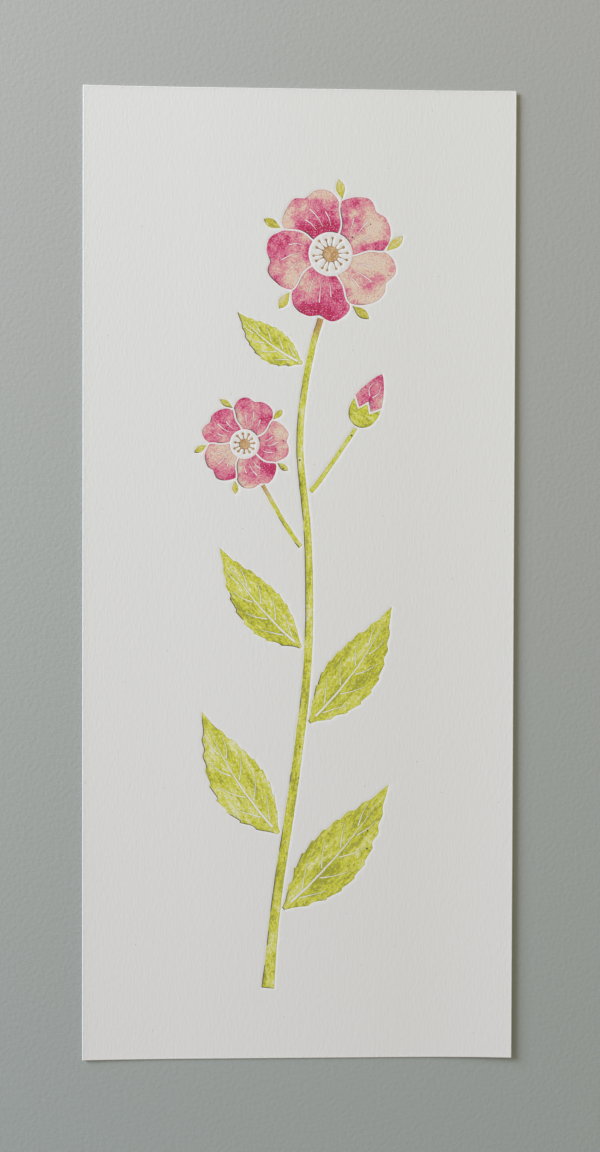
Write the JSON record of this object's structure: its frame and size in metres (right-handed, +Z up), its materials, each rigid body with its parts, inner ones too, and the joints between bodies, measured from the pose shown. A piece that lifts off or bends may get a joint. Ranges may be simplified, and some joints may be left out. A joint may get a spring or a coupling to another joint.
{
  "type": "unframed art print",
  "caption": "Unframed print on a tall sheet of heavy white paper: a flower spray in pink, ochre and green ink, pressed a little into the face, with slightly curled long edges.",
  "frame": {"origin": "middle of the sheet, on the surface that it lies on", "axes": "+Z up out of the printed face, +Y towards the top of the picture, +X to the right of the picture"},
  "size_m": [0.2, 0.45, 0.0021],
  "materials": {
    "paper": "matte, heavy cotton paper with a fine felt grain",
    "pink_ink": "soft satin printing ink, mottled",
    "green_ink": "soft satin printing ink, mottled",
    "ochre_ink": "soft satin printing ink, mottled"
  },
  "bodies": {
    "root": {"sheet": "paper", "ink_stem": "green_ink", "ink_twig_left": "green_ink", "ink_twig_right": "green_ink", "ink_leaf_low_right": "green_ink", "ink_leaf_low_left": "green_ink", "ink_leaf_middle_right": "green_ink", "ink_leaf_middle_left": "green_ink", "ink_leaf_top_left": "green_ink", "ink_big_petal_1": "pink_ink", "ink_big_petal_2": "pink_ink", "ink_big_petal_3": "pink_ink", "ink_big_petal_4": "pink_ink", "ink_big_petal_5": "pink_ink", "ink_big_sepal_1": "green_ink", "ink_big_sepal_2": "green_ink", "ink_big_sepal_3": "green_ink", "ink_big_sepal_4": "green_ink", "ink_big_sepal_5": "green_ink", "ink_big_eye": "ochre_ink", "ink_small_petal_1": "pink_ink", "ink_small_petal_2": "pink_ink", "ink_small_petal_3": "pink_ink", "ink_small_petal_4": "pink_ink", "ink_small_petal_5": "pink_ink", "ink_small_sepal_1": "green_ink", "ink_small_sepal_2": "green_ink", "ink_small_sepal_3": "green_ink", "ink_small_sepal_4": "green_ink", "ink_small_sepal_5": "green_ink", "ink_small_eye": "ochre_ink", "ink_bud_cup": "green_ink", "ink_bud_petals": "pink_ink"}
  },
  "joints": []
}
